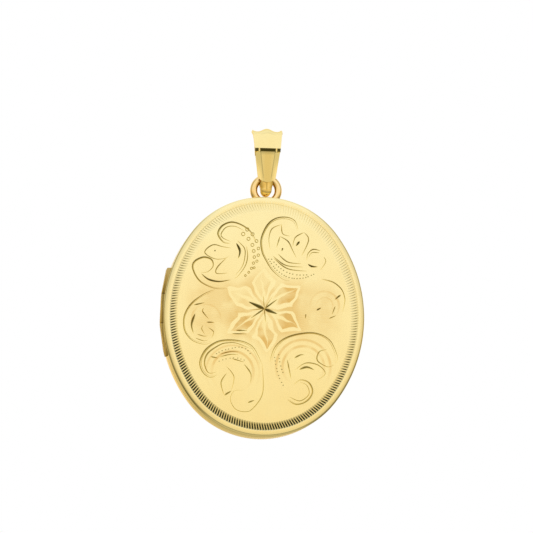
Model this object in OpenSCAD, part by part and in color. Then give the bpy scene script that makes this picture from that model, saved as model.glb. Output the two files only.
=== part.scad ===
// Oval photo locket with a hinged cover, hanging from a bail by a jump ring.
// +Z is up, -Y is the engraved front, +X is the opening side.
// The origin is the middle of the bail's opening, where the chain runs.

/* [Case] */
// Width of the closed case
case_w = 30; // [29:0.5:31]
// Height of the closed case
case_h = 35.76; // [35:0.1:36.5]
// Thickness of the closed case, both halves together
case_d = 4.8; // [4.6:0.1:5.4]
// Thickness of the gold sheet
wall = 0.35; // [0.3:0.05:0.4]
// Radius of the rounded edge between side and face
edge_r = 0.35; // [0.2:0.05:0.4]
// Plain margin outside the engraved border
margin = 1; // [0.8:0.1:1.2]
// Width of the engraved border
border_w = 0.94; // [0.6:0.02:1.2]
// Depth of the engraved border
border_deep = 0.04; // [0.02:0.01:0.08]

/* [Hinge] */
// Distance of the hinge axis from the side of the case
hinge_in = 1; // [0.9:0.05:1.1]
// Outer radius of the knuckles
knuckle_r = 1.3; // [1.2:0.05:1.3]
// Radius of the hinge pin
pin_r = 0.25; // [0.2:0.01:0.28]
// Lengths of the top, middle and bottom knuckles
knuckle_len = [3.8, 4.4, 4.8];
// Height of the hinge's top end above the middle of the case
hinge_top = 7; // [6.8:0.1:7.2]
// How far the cover opens, in degrees
open_angle = 130; // [90:5:130]
// Gap between parts that turn past each other
gap = 0.05; // [0.04:0.01:0.08]

/* [Inside] */
// Distance from the outline to the inner edge of the inner rim
seat_in = 2.4; // [2.4:0.1:2.8]
// Width of the photo frame's lip
frame_lip = 0.75; // [0.6:0.05:1]
// Height of the snap lip above the seam
lip_h = 0.45; // [0.35:0.05:0.5]
// Thickness of the clear window
window_t = 0.2; // [0.15:0.05:0.25]
// Thickness of the photo card
card_t = 0.2; // [0.15:0.05:0.25]

/* [Ring] */
// Radius of the jump ring to the middle of its wire
ring_r = 1.84; // [1.8:0.02:1.9]
// Diameter of the ring's wire
ring_wire = 1.08; // [1:0.02:1.1]
// Height of the ring's centre above the top of the case
ring_rise = 1.43; // [1.4:0.01:1.6]
// Distance of the ring's plane behind the seam
ring_back = 0.75; // [0.7:0.05:0.8]
// Sideways offset of the ring from the middle of the case
ring_side = 0.4; // [0:0.1:0.5]

/* [Bail] */
// Height of the chain opening's middle above the middle of the case
case_drop = 26.5; // [26.4:0.1:26.8]
// Width of the bail at its crown
crown_w = 4.56; // [4.2:0.1:5]
// Width of the bail at its ridge
ridge_w = 3.84; // [3.6:0.1:4.2]
// Width of the leaf where its round tip begins
leaf_w = 2.66; // [2.4:0.02:2.7]
// Depth of the bail from ridge to ridge
ridge_d = 4; // [3.8:0.1:4.4]
// Depth of the bail across its leaf tips
tip_d = 2.9; // [2.9:0.1:3.2]
// Thickness of the bail's sheet
strap_t = 0.4; // [0.3:0.02:0.4]

/* [Hidden] */
$fn = 96;
gold = "khaki";
dark_gold = "goldenrod";

// Oval of four arcs: two side arcs of side_r about (-+side_c, 0) and two end arcs of end_r about
// (0, -+end_c). The line through two neighbouring centres runs 4 across for 3 up, and the arcs join on it.
across_share = 0.8;
up_share = 0.6;
half_w = case_w / 2;
half_h = case_h / 2;
half_d = case_d / 2;
centre_gap = (half_h - half_w) / (across_share + up_share - 1);
side_c = across_share * centre_gap;
end_c = up_share * centre_gap;
side_r = half_w + side_c;
end_r = side_r - centre_gap;

// Hinge
axis_x = hinge_in - half_w;
hinge_len = knuckle_len[0] + knuckle_len[1] + knuckle_len[2];
hinge_bottom = hinge_top - hinge_len;
relief_angle = 90 - open_angle / 2 - 1.5;
knuckle_top_z = [hinge_top, hinge_top - knuckle_len[0], hinge_top - knuckle_len[0] - knuckle_len[1]];
pin_play = 0.02;
pin_end = 0.3;
// Outer facets of the knuckles, as [height, distance from the middle of the case]
knuckle_facets = [[7.05, half_w - 0.65], [3.2, half_w + 0.1], [-1.2, half_w + 0.3],
                  [-5.2, half_w - 0.4], [-6.1, half_w - 0.65]];

// Inside
rim_strip = 0.7;
seat_t = 0.25;
seat_y = 0.05;
seat_wall = 0.3;
seat_deep = 1.5;
lip_in = wall + 0.07;
lip_t = 0.2;
lip_start_x = -9;
groove_in = lip_in + lip_t + 0.1;
groove_deep = 0.7;
frame_in = seat_in + 0.05;
frame_t = 0.22;
frame_deep = 1.4;
card_in = frame_in + frame_t + 0.03;
window_y = seat_y + seat_t + 0.02;
card_y = window_y + window_t + 0.02;
pip_r = 0.15;
pip_out = 0.1;
nick_w = 3;
nick_z = -3;
nick_deep = 0.35;

// Ring, in the case's own axes
ring_z = half_h + ring_rise;
ring_play = 0.04;
boss_w = 4.6;
boss_h = 1.3;
boss_d = 1.6;

// Bail, with its origin at the chain opening
swing_z = ring_z + ring_r - case_drop;
crown_z = 0.7;
crown_r = 1.45;
ridge_z = -1.23;
tip_z = -6.15;
shoulder_z = -5.25;
eye_w = 1.9;
eye_top_z = -3.6;
eye_bottom_z = -8.13;
eye_play = 0.12;
crown_wave = 0.12;
crown_wave_turn = 120;
arc_steps = 14;

// ---- shapes that are used more than once ----

// A plate in the case's outline, smaller by inset all round, from depth start to depth end
module oval_plate(inset, start, end) {
    long_r = side_r - inset;
    short_r = end_r - inset;
    join_y = up_share * long_r;
    translate([0, 0, start]) linear_extrude(end - start) intersection() {
        translate([-side_c, 0]) circle(long_r);
        translate([side_c, 0]) circle(long_r);
        square([case_w, 2 * join_y], center = true);
    }
    for (turn = [0, 180]) rotate(turn) translate([0, 0, start]) linear_extrude(end - start) intersection() {
        translate([0, end_c]) circle(short_r);
        translate([-half_w, join_y]) square([case_w, half_h]);
    }
}

// A flat ring that follows the outline, between two insets, from depth start to depth end
module oval_ring(outer_in, inner_in, start, end) {
    difference() {
        oval_plate(outer_in, start, end);
        oval_plate(inner_in, start - 1, end + 1);
    }
}

// The shell's rim turned about an arc's centre: side wall, rounded edge and a strip of the face
module rim_turned(r) {
    steps = 5;
    section = concat([[r, 0]],
        [for (i = [0:steps]) let (a = 90 * i / steps)
            [r - edge_r + edge_r * cos(a), half_d - edge_r + edge_r * sin(a)]],
        [[r - rim_strip, half_d], [r - rim_strip, half_d - wall], [r - wall, half_d - wall], [r - wall, 0]]);
    rotate_extrude() polygon(section);
}

// The wedge of space between the two joining lines of one arc, from its centre towards +X or +Y
module side_wedge() {
    linear_extrude(half_d) polygon([[0, 0], 30 * [across_share, up_share], 30 * [across_share, -up_share]]);
}
module end_wedge() {
    linear_extrude(half_d) polygon([[0, 0], 30 * [across_share, up_share], 30 * [-across_share, up_share]]);
}

// A hollow case half, with the seam at 0 and the face at half_d
module plain_shell() {
    for (turn = [0, 180]) {
        rotate(turn) translate([-side_c, 0]) intersection() { rim_turned(side_r); side_wedge(); }
        rotate(turn) translate([0, end_c]) intersection() { rim_turned(end_r); end_wedge(); }
    }
    oval_plate(rim_strip - 0.1, half_d - wall, half_d);
}

// Puts a shape drawn in the outline's plane on the front or the back of the seam
module front_side() { rotate([90, 0, 0]) children(); }
module back_side() { mirror([0, 1, 0]) rotate([90, 0, 0]) children(); }

// Moves a shape from the case's own axes to the part's
module at_case() { translate([-ring_side, -ring_back, -case_drop]) children(); }

// A round bar along the hinge axis, from height low to height high
module hinge_bar(r, low, high) { translate([axis_x, 0, low]) cylinder(r = r, h = high - low); }

// Clears the corner beside the hinge on one half, so that the cover can swing back
module hinge_relief() {
    reach = half_d + 0.2;
    far_x = axis_x - 3;
    translate([0, 0, -hinge_top - 0.1]) linear_extrude(2 * hinge_top + 0.2)
        polygon([[axis_x, 0.1], [axis_x, 0], [axis_x - reach * tan(relief_angle), -reach],
                 [far_x, -reach], [far_x, 0.1]]);
}

// Room for the knuckles in the shells: tight round a half's own knuckles and loose round the others
module knuckle_room(own) {
    for (i = [0:2]) {
        loose = own[i] ? 0 : gap;
        hinge_bar(knuckle_r + loose, knuckle_top_z[i] - knuckle_len[i] - loose, knuckle_top_z[i] + loose);
    }
}

// A knuckle: a tube along the hinge axis, filed to the case's outline
module knuckle(i, bore_r) {
    top = knuckle_top_z[i] - (i > 0 ? gap / 2 : 0);
    bottom = knuckle_top_z[i] - knuckle_len[i] + (i < 2 ? gap / 2 : 0);
    color(dark_gold) at_case() difference() {
        intersection() {
            hinge_bar(knuckle_r, bottom, top);
            rotate([90, 0, 0]) linear_extrude(4, center = true)
                polygon(concat([for (f = knuckle_facets) [-f[1], f[0]]],
                               [[0, hinge_bottom - 0.1], [0, hinge_top + 0.05]]));
        }
        hinge_bar(bore_r, bottom - 1, top + 1);
    }
}

// The jump ring's wire, thicker by extra
module ring_torus(extra = 0) {
    translate([ring_side, ring_back, ring_z]) rotate([90, 0, 0])
        rotate_extrude() translate([ring_r, 0]) circle(ring_wire / 2 + extra, $fn = 48);
}

// The block inside the back half's top edge that holds the ring
module ring_block(extra = 0) {
    translate([ring_side - boss_w / 2 - extra, -extra, half_h - wall - boss_h - extra])
        cube([boss_w + 2 * extra, boss_d + 2 * extra, boss_h + wall + 2 * extra]);
}

// An inner rim: a flat ledge at the seam and a short wall that the photo frame fits in
module seat(ledge_in) {
    oval_ring(ledge_in, seat_in, seat_y, seat_y + seat_t);
    oval_ring(seat_in - seat_wall, seat_in, seat_y + seat_t, seat_deep);
}

// A photo frame: a lip over the window's edge and a springy wall
module photo_frame() {
    oval_ring(frame_in, frame_in + frame_lip, seat_y, seat_y + seat_t);
    oval_ring(frame_in, frame_in + frame_t, seat_y + seat_t, frame_deep);
}

module window() { oval_plate(card_in, window_y, window_y + window_t); }
module card() { oval_plate(card_in, card_y, card_y + card_t); }

// The bail's side outline, as [depth, height] from one leaf tip up, over the crown and down to the other
function bail_loop(inset) =
    let (r = crown_r - inset, ridge = [ridge_d / 2 - inset, ridge_z], away = ridge - [0, crown_z],
         start = atan2(away[1], away[0]) + acos(r / norm(away)))
    concat([[tip_d / 2 - inset, tip_z - inset], ridge],
           [for (i = [0:arc_steps]) let (a = start + (180 - 2 * start) * i / arc_steps)
               [r * cos(a), crown_z + r * sin(a)]],
           [[-ridge[0], ridge[1]], [inset - tip_d / 2, tip_z - inset]]);

// Extrudes a side outline, given as [depth, height], across the width
module across(w) { rotate([90, 0, 90]) linear_extrude(w, center = true) children(); }

// Extrudes a front outline, given as [width, height], from front to back
module through(d) { rotate([90, 0, 0]) linear_extrude(d, center = true) children(); }

// ---- bail and ring ----

module bail_strap() {
    half_crown = crown_w / 2;
    top_z = crown_z + crown_r;
    color(gold) intersection() {
        across(crown_w + 1) difference() {
            polygon(bail_loop(0));
            polygon(bail_loop(strap_t));
        }
        through(ridge_d + 1) polygon(concat(
            [for (i = [0:arc_steps]) let (x = half_crown * (1 - 2 * i / arc_steps))
                [x, top_z - crown_wave * pow(sin(crown_wave_turn * x / half_crown), 2)]],
            [[-ridge_w / 2, ridge_z]],
            [for (a = [0:15:180]) [-leaf_w / 2 * cos(a), shoulder_z - (shoulder_z - tip_z) * sin(a)]],
            [[ridge_w / 2, ridge_z]]));
    }
}

module bail_eye() {
    leaf_slope = (ridge_d - tip_d) / 2 / (ridge_z - tip_z);
    tip_y = tip_d / 2 - strap_t;
    leg_y = tip_y + leaf_slope * (eye_top_z - tip_z);
    slot_y = ring_wire / 2 + eye_play;
    half_eye = eye_w / 2;
    color(dark_gold) difference() {
        intersection() {
            across(eye_w + 1) polygon([
                [leg_y, eye_top_z], [tip_y, tip_z], [0.6, eye_bottom_z + 0.5], [0.3, eye_bottom_z],
                [-0.3, eye_bottom_z], [-0.6, eye_bottom_z + 0.5], [-tip_y, tip_z], [-leg_y, eye_top_z]]);
            through(ridge_d) polygon([
                [half_eye, eye_top_z], [half_eye, tip_z + 0.1], [0.7, -7.25], [0.8, -7.55], [0.6, -7.9],
                [0.25, eye_bottom_z], [-0.25, eye_bottom_z], [-0.6, -7.9], [-0.8, -7.55], [-0.7, -7.25],
                [-half_eye, tip_z + 0.1], [-half_eye, eye_top_z]]);
        }
        // slot for the ring's wire, with a saddle under it that matches the ring's inside
        translate([-2, -slot_y, swing_z]) cube([4, 2 * slot_y, 4]);
        translate([0, 0, swing_z]) rotate([0, 90, 0]) rotate_extrude() difference() {
            translate([0, -2]) square([slot_y + 0.5, 4]);
            translate([ring_r, 0]) circle(ring_r - slot_y);
        }
    }
}

module jump_ring() { color(gold) at_case() ring_torus(); }

// ---- back half ----

module back_shell() {
    color(gold) at_case() difference() {
        union() {
            back_side() plain_shell();
            intersection() {
                ring_block();
                back_side() oval_plate(wall / 2, 0, half_d - edge_r);
            }
        }
        mirror([0, 1, 0]) hinge_relief();
        knuckle_room([true, false, true]);
        ring_torus(ring_play);
    }
}

module back_seat() {
    color(dark_gold) at_case() difference() {
        back_side() seat(wall);
        hinge_bar(knuckle_r + gap, hinge_bottom - gap, hinge_top + gap);
        ring_block();
        mirror([0, 1, 0]) hinge_relief();
    }
}

module snap_lip() {
    color(dark_gold) at_case() difference() {
        union() {
            front_side() oval_ring(lip_in, lip_in + lip_t, -seat_y, lip_h);
            translate([half_w - lip_in - pip_r + pip_out, -lip_h / 2, 0]) sphere(pip_r, $fn = 24);
        }
        translate([lip_start_x - case_w, -5, -half_h]) cube([case_w, 10, case_h]);
        ring_block(0.1);
    }
}

module back_photo_frame() { color(gold) at_case() back_side() photo_frame(); }
module back_window() { color("azure", 0.3) at_case() back_side() window(); }
module back_photo_card() { color("ivory") at_case() back_side() card(); }

module hinge_knuckle_top() { knuckle(0, pin_r); }
module hinge_knuckle_bottom() { knuckle(2, pin_r); }
module hinge_pin() {
    color(gold) at_case() hinge_bar(pin_r, hinge_bottom + pin_end, hinge_top - pin_end);
}

// ---- cover ----

module front_shell() {
    color(gold) at_case() difference() {
        front_side() plain_shell();
        front_side() oval_ring(margin, margin + border_w, half_d - border_deep, half_d + 1);
        hinge_relief();
        knuckle_room([false, true, false]);
        // dimple that the pip snaps into, and a nick for a fingernail
        translate([half_w - lip_in - pip_r + pip_out, -lip_h / 2, 0]) sphere(pip_r + pip_out / 2, $fn = 24);
        translate([half_w, 0, nick_z]) rotate(45) cube([nick_deep, nick_deep, nick_w], center = true);
    }
}

module front_seat() {
    color(dark_gold) at_case() difference() {
        front_side() {
            seat(groove_in);
            oval_ring(groove_in, groove_in + seat_t, seat_y + seat_t, groove_deep);
            oval_ring(wall, groove_in + seat_t, groove_deep, groove_deep + seat_t);
        }
        hinge_bar(knuckle_r + gap, hinge_bottom - gap, hinge_top + gap);
        hinge_relief();
    }
}

module front_photo_frame() { color(gold) at_case() front_side() photo_frame(); }
module front_window() { color("azure", 0.3) at_case() front_side() window(); }
module front_photo_card() { color("ivory") at_case() front_side() card(); }
module hinge_knuckle_middle() { knuckle(1, pin_r + pin_play); }

bail_strap();
bail_eye();
jump_ring();
back_shell();
back_seat();
snap_lip();
back_photo_frame();
back_window();
back_photo_card();
hinge_knuckle_top();
hinge_knuckle_bottom();
hinge_pin();
front_shell();
front_seat();
front_photo_frame();
front_window();
front_photo_card();
hinge_knuckle_middle();
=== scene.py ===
import math

import bmesh
import bpy
from mathutils import Matrix, Vector
from mathutils.geometry import interpolate_bezier


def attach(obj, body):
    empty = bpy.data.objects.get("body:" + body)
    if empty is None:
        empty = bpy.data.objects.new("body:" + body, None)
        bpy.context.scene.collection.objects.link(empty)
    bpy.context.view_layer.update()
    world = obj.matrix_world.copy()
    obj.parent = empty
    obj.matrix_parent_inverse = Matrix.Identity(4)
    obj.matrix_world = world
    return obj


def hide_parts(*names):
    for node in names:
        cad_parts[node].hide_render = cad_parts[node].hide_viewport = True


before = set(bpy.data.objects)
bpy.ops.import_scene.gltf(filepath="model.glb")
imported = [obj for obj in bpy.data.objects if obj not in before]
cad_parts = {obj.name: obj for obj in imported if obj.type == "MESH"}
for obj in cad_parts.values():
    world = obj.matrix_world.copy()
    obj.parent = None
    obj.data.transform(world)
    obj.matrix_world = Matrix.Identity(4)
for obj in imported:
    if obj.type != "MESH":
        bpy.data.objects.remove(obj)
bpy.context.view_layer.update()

mm = 0.001
caseMiddle = Vector((-0.4, -0.75, -26.5))  # middle of the case at the seam, in the part's axes, mm
benchTools = []  # cutters, taken off the bench at the end

# the case outline: four arcs that meet where their centres line up
caseOval = {
    "sideCentre": 5.76,
    "endCentre": 4.32,
    "sideRadius": 20.76,
    "endRadius": 13.56,
    "joinAngle": math.atan2(0.6, 0.8),
    "sideSteps": 34,
    "endSteps": 50,
    "halfWidth": 15.0,
    "halfHeight": 17.88,
    "halfDepth": 2.4,
    "sheet": 0.35,
}
# the jump ring, with the notch that the case's rim has for it
jumpRing = {
    "radius": 1.84,
    "wire": 0.54,
    "notchWire": 0.58,
    "middle": Vector((0, 0, -7.19)),
    "steps": 120,
    "around": 32,
}


def makeObject(name, bm, outward=True):
    if outward:
        bmesh.ops.recalc_face_normals(bm, faces=bm.faces[:])
    mesh = bpy.data.meshes.new(name)
    bm.to_mesh(mesh)
    bm.free()
    obj = bpy.data.objects.new(name, mesh)
    bpy.context.scene.collection.objects.link(obj)
    return obj


def makeTool(name, bm):
    # a cutter, hidden from the render
    tool = makeObject(name, bm)
    tool.hide_render = True
    benchTools.append(tool)
    return tool


def bakeModifiers(obj):
    graph = bpy.context.evaluated_depsgraph_get()
    graph.update()
    finished = bpy.data.meshes.new_from_object(obj.evaluated_get(graph))
    obj.modifiers.clear()
    obj.data = finished
    return obj


def addBoolean(obj, operation, tool=None, group=None):
    modifier = obj.modifiers.new("shape", "BOOLEAN")
    modifier.operation = operation
    modifier.solver = "MANIFOLD"
    if group:
        modifier.operand_type = "COLLECTION"
        modifier.collection = group
    else:
        modifier.object = tool


def shapeWith(obj, operation, *tools):
    for tool in tools:
        addBoolean(obj, operation, tool)
    return bakeModifiers(obj)


def softenEdges(obj, width, angle=40):
    modifier = obj.modifiers.new("soften", "BEVEL")
    modifier.width = width
    modifier.segments = 2
    modifier.limit_method = "ANGLE"
    modifier.angle_limit = math.radians(angle)
    return bakeModifiers(obj)


def finishPiece(obj, body, nodes, material, shift=caseMiddle, sharpAngle=30):
    # millimetres to metres, into the part's axes, then onto its body
    obj.data.transform(Matrix.Scale(mm, 4) @ Matrix.Translation(shift))
    obj.data.materials.clear()
    obj.data.materials.append(material)
    obj.data.shade_smooth()
    obj.data.set_sharp_from_angle(angle=math.radians(sharpAngle))
    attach(obj, body)
    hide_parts(*nodes)
    return obj


def drawLine(bm, points, closed=True):
    verts = [bm.verts.new(point) for point in points]
    edges = [bm.edges.new(pair) for pair in zip(verts, verts[1:])]
    if closed:
        edges.append(bm.edges.new((verts[-1], verts[0])))
    return verts, edges


def pullRow(bm, row):
    # pulls a row of edges out, and gives the new edges and their points
    pulled = bmesh.ops.extrude_edge_only(bm, edges=row)["geom"]
    edges = [e for e in pulled if isinstance(e, bmesh.types.BMEdge)]
    return edges, [v for v in pulled if isinstance(v, bmesh.types.BMVert)]


def turnRound(bm, geom, centre, axis, steps, angle=math.tau, merged=True):
    return bmesh.ops.spin(bm, geom=geom, cent=centre, axis=axis, angle=angle, steps=steps, use_merge=merged,
                          use_normal_flip=False, use_duplicate=False)


def closeHoles(bm):
    rims = [e for e in bm.edges if e.is_boundary]
    if rims:
        bmesh.ops.holes_fill(bm, edges=rims, sides=0)


def ovalArcs():
    # centre, start angle, swept angle and steps of each arc, from the lower right round to the left
    side = caseOval["joinAngle"]
    end = math.pi / 2 - side
    sideR = caseOval["sideRadius"]
    endR = caseOval["endRadius"]
    c = caseOval["sideCentre"]
    e = caseOval["endCentre"]
    return [
        (Vector((-c, 0, 0)), -side, 2 * side, sideR, caseOval["sideSteps"]),
        (Vector((0, 0, e)), side, 2 * end, endR, caseOval["endSteps"]),
        (Vector((c, 0, 0)), math.pi - side, 2 * side, sideR, caseOval["sideSteps"]),
        (Vector((0, 0, -e)), math.pi + side, 2 * end, endR, caseOval["endSteps"]),
    ]


def sweepOval(section, closed=True):
    # section: (distance in from the outline, depth from the seam with the front negative)
    bm = bmesh.new()
    centre, start, angle, radius, steps = ovalArcs()[0]
    out = Vector((math.cos(start), 0, math.sin(start)))
    points = [centre + out * (radius - inset) + Vector((0, depth, 0)) for inset, depth in section]
    verts, edges = drawLine(bm, points, closed)
    row = verts + edges
    for centre, start, angle, radius, steps in ovalArcs():
        row = turnRound(bm, row, centre, (0, -1, 0), steps, angle, merged=False)["geom_last"]
    bmesh.ops.remove_doubles(bm, verts=bm.verts[:], dist=0.001)
    closeHoles(bm)
    return bm


def ovalPlaces(inset, count):
    # evenly spaced points on an inset outline, each with its outward direction
    lengths = [(radius - inset) * angle for centre, start, angle, radius, steps in ovalArcs()]
    for i in range(count):
        along = i / count * sum(lengths)
        for (centre, start, angle, radius, steps), length in zip(ovalArcs(), lengths):
            if along <= length:
                turned = start + along / (radius - inset)
                out = Vector((math.cos(turned), 0, math.sin(turned)))
                yield centre + out * (radius - inset), out
                break
            along -= length


def prism(outline, direction):
    bm = bmesh.new()
    face = bm.faces.new([bm.verts.new(p) for p in outline])
    pushed = bmesh.ops.extrude_face_region(bm, geom=[face])["geom"]
    bmesh.ops.translate(bm, vec=direction, verts=[v for v in pushed if isinstance(v, bmesh.types.BMVert)])
    return bm


def bar(radius, low, high, centre, segments=64):
    bm = bmesh.new()
    place = Matrix.Translation((centre[0], centre[1], (low + high) / 2))
    bmesh.ops.create_cone(bm, cap_ends=True, segments=segments, radius1=radius, radius2=radius,
                          depth=high - low, matrix=place)
    return bm


def block(low, high):
    bm = bmesh.new()
    size = Vector(high) - Vector(low)
    bmesh.ops.create_cube(bm, size=1, matrix=Matrix.Translation((Vector(low) + Vector(high)) / 2)
                          @ Matrix.Diagonal((*size, 1)))
    return bm


def wireRing(centre, radius, wire, steps=96, around=28):
    bm = bmesh.new()
    section = bmesh.ops.create_circle(bm, segments=around, radius=wire,
                                      matrix=Matrix.Translation(centre + Vector((radius, 0, 0))))
    turnRound(bm, section["verts"] + bm.edges[:], centre, (0, 1, 0), steps)
    return bm


def ball(radius, centre):
    bm = bmesh.new()
    bmesh.ops.create_uvsphere(bm, u_segments=16, v_segments=10, radius=radius,
                              matrix=Matrix.Translation(centre))
    return bm


def newGroup(name, inputs, outputs):
    group = bpy.data.node_groups.new(name, "ShaderNodeTree")
    for label, kind, value in inputs:
        socket = group.interface.new_socket(name=label, in_out="INPUT", socket_type=kind)
        if value is not None:
            socket.default_value = value
    for label, kind in outputs:
        group.interface.new_socket(name=label, in_out="OUTPUT", socket_type=kind)
    return group, group.nodes.new("NodeGroupInput"), group.nodes.new("NodeGroupOutput")


def noiseNode(tree, vector, scale, detail, output="Fac"):
    noise = tree.nodes.new("ShaderNodeTexNoise")
    noise.inputs["Scale"].default_value = scale
    noise.inputs["Detail"].default_value = detail
    tree.links.new(vector, noise.inputs["Vector"])
    return noise.outputs[output]


def fillSockets(tree, sockets, values):
    # a plain value goes onto its socket, and an output is linked to it
    for socket, value in zip(sockets, values):
        if isinstance(value, bpy.types.NodeSocket):
            tree.links.new(value, socket)
        elif value is not None:
            socket.default_value = value


def placeGroup(tree, group, vector):
    node = tree.nodes.new("ShaderNodeGroup")
    node.node_tree = group
    tree.links.new(vector, node.inputs["Vector"])
    return node


def axesOf(tree, vector):
    parts = tree.nodes.new("ShaderNodeSeparateXYZ")
    tree.links.new(vector, parts.inputs["Vector"])
    return parts.outputs["X"], parts.outputs["Y"], parts.outputs["Z"]


def mappingNode(tree, vector, label, value, scale):
    node = tree.nodes.new("ShaderNodeMapping")
    node.inputs[label].default_value = value
    node.inputs["Scale"].default_value = scale
    tree.links.new(vector, node.inputs["Vector"])
    return node.outputs["Vector"]


def vectorMath(tree, operation, *values):
    node = tree.nodes.new("ShaderNodeVectorMath")
    node.operation = operation
    fillSockets(tree, node.inputs, values)
    return node.outputs[0]


def mathNode(tree, operation, a, b=None, clamp=False):
    node = tree.nodes.new("ShaderNodeMath")
    node.operation = operation
    node.use_clamp = clamp
    fillSockets(tree, node.inputs, (a, b))
    return node.outputs[0]


def plus(tree, a, b, clamp=False):
    return mathNode(tree, "ADD", a, b, clamp)


def minus(tree, a, b, clamp=False):
    return mathNode(tree, "SUBTRACT", a, b, clamp)


def times(tree, a, b, clamp=False):
    return mathNode(tree, "MULTIPLY", a, b, clamp)


def sumOfSquares(tree, a, b):
    return plus(tree, times(tree, a, a), times(tree, b, b))


def mapRange(tree, value, low, high, toLow=0.0, toHigh=1.0):
    node = tree.nodes.new("ShaderNodeMapRange")
    fillSockets(tree, node.inputs, (value, low, high, toLow, toHigh))
    return node.outputs["Result"]


def window(tree, value, low, lowFull, highFull, high):
    # one between the two full values, and nothing beyond low and high
    return times(tree, mapRange(tree, value, low, lowFull), mapRange(tree, value, high, highFull))


def mixColour(tree, factor, first, second):
    node = tree.nodes.new("ShaderNodeMix")
    node.data_type = "RGBA"
    fillSockets(tree, [node.inputs[label] for label in ("Factor", "A", "B")], (factor, first, second))
    return node.outputs["Result"]


def hairlineGroup():
    # fine polishing hairlines in two directions, and a slow unevenness of the sheet
    group, start, end = newGroup("polishingHairlines",
                                 [("Vector", "NodeSocketVector", None)],
                                 [("Hairlines", "NodeSocketFloat"), ("Swell", "NodeSocketFloat")])
    lines = []
    for turn, stretch in ((25, 14000), (-50, 9000)):
        turned = mappingNode(group, start.outputs["Vector"], "Rotation", (0.3, math.radians(turn), 0.2),
                             (stretch, 900, 500))
        lines.append(noiseNode(group, turned, 1.0, 2.0))
    group.links.new(times(group, plus(group, *lines), 0.5), end.inputs["Hairlines"])
    group.links.new(noiseNode(group, start.outputs["Vector"], 190.0, 1.0), end.inputs["Swell"])
    return group


def toneGroup():
    # slow change between two golds, with a little speckle where the metal is worn
    group, start, end = newGroup("goldTone",
                                 [("Vector", "NodeSocketVector", None),
                                  ("Pale", "NodeSocketColor", (0.9, 0.75, 0.4, 1)),
                                  ("Deep", "NodeSocketColor", (0.8, 0.6, 0.25, 1))],
                                 [("Colour", "NodeSocketColor"), ("Wear", "NodeSocketFloat")])
    cloud = mapRange(group, noiseNode(group, start.outputs["Vector"], 160.0, 4.0), 0.3, 0.7)
    wear = mapRange(group, noiseNode(group, start.outputs["Vector"], 1500.0, 5.0), 0.55, 0.75)
    colour = mixColour(group, cloud, start.outputs["Pale"], start.outputs["Deep"])
    group.links.new(colour, end.inputs["Colour"])
    group.links.new(wear, end.inputs["Wear"])
    return group


hairlines = hairlineGroup()
goldTone = toneGroup()


def startMaterial(name):
    material = bpy.data.materials.new(name)
    material.use_nodes = True
    tree = material.node_tree
    shader = tree.nodes["Principled BSDF"]
    place = tree.nodes.new("ShaderNodeTexCoord").outputs["Object"]
    return material, tree, shader, place


def goldFinish(name, look):
    material, tree, shader, place = startMaterial(name)
    shader.inputs["Metallic"].default_value = 1.0
    shader.inputs["Specular Tint"].default_value = look["edgeTint"]
    tone = placeGroup(tree, goldTone, place)
    tone.inputs["Pale"].default_value = look["pale"]
    tone.inputs["Deep"].default_value = look["deep"]
    marks = placeGroup(tree, hairlines, place)
    worn = look["roughness"] + look["wornRoughness"]
    rough = mapRange(tree, tone.outputs["Wear"], 0, 1, look["roughness"], worn)
    fine = mapRange(tree, marks.outputs["Hairlines"], 0.45, 0.6, 0, look["hairlineRoughness"])
    tree.links.new(plus(tree, rough, fine), shader.inputs["Roughness"])
    bump = tree.nodes.new("ShaderNodeBump")
    bump.name = "faceBump"
    bump.inputs["Strength"].default_value = 1.0
    bump.inputs["Distance"].default_value = mm
    height = plus(tree, times(tree, marks.outputs["Hairlines"], look["hairlineHeight"]),
                  times(tree, marks.outputs["Swell"], look["swellHeight"]))
    tree.links.new(height, bump.inputs["Height"])
    tree.links.new(bump.outputs["Normal"], shader.inputs["Normal"])
    tree.links.new(tone.outputs["Colour"], shader.inputs["Base Color"])
    return material, tree, shader, place, tone


polishedLook = {
    "pale": (0.96, 0.83, 0.42, 1),
    "deep": (0.93, 0.77, 0.35, 1),
    "edgeTint": (1.0, 0.85, 0.48, 1),
    "roughness": 0.10,
    "wornRoughness": 0.05,
    "hairlineRoughness": 0.05,
    "hairlineHeight": 0.0006,
    "swellHeight": 0.01,
}
engravedLook = {
    **polishedLook,
    "pale": (0.965, 0.86, 0.465, 1),
    "deep": (0.95, 0.815, 0.42, 1),
    # painted shade: the dark colour that the cuts are mixed towards
    "cutShade": (0.11, 0.115, 0.055, 1),
    "satin": (0.76, 0.52, 0.18, 1),
    # painted shade on the rounded rim towards the sides
    "rim": (0.45, 0.36, 0.13, 1),
    "bright": (0.975, 0.88, 0.51, 1),
    "edgeTint": (1.0, 0.88, 0.55, 1),
    "curlShare": 0.62,
    "brightShare": 0.4,
    "rimShadeShare": 0.55,
    "dome": 0.8,            # height falls by this much times the square of the distance in metres
    "rayHeight": 0.002,
    "roughness": 0.13,
    "hairlineRoughness": 0.06,
    "hairlineHeight": 0.0004,
    "swellHeight": 0.02,
}
innerLook = {
    "pale": (0.84, 0.65, 0.31, 1),
    "deep": (0.76, 0.56, 0.24, 1),
    "edgeTint": (1.0, 0.82, 0.42, 1),
    "roughness": 0.30,
    "wornRoughness": 0.10,
    "hairlineRoughness": 0.12,
    "hairlineHeight": 0.004,
    "swellHeight": 0.03,
}
# painted shade: the hinge knuckles and pin use a darkened copy of the case's gold
shadedHingeLook = {
    "pale": (0.54, 0.40, 0.14, 1),
    "deep": (0.30, 0.21, 0.06, 1),
    "edgeTint": (0.9, 0.72, 0.34, 1),
    "roughness": 0.22,
    "wornRoughness": 0.12,
    "hairlineRoughness": 0.10,
    "hairlineHeight": 0.003,
    "swellHeight": 0.02,
}
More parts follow.
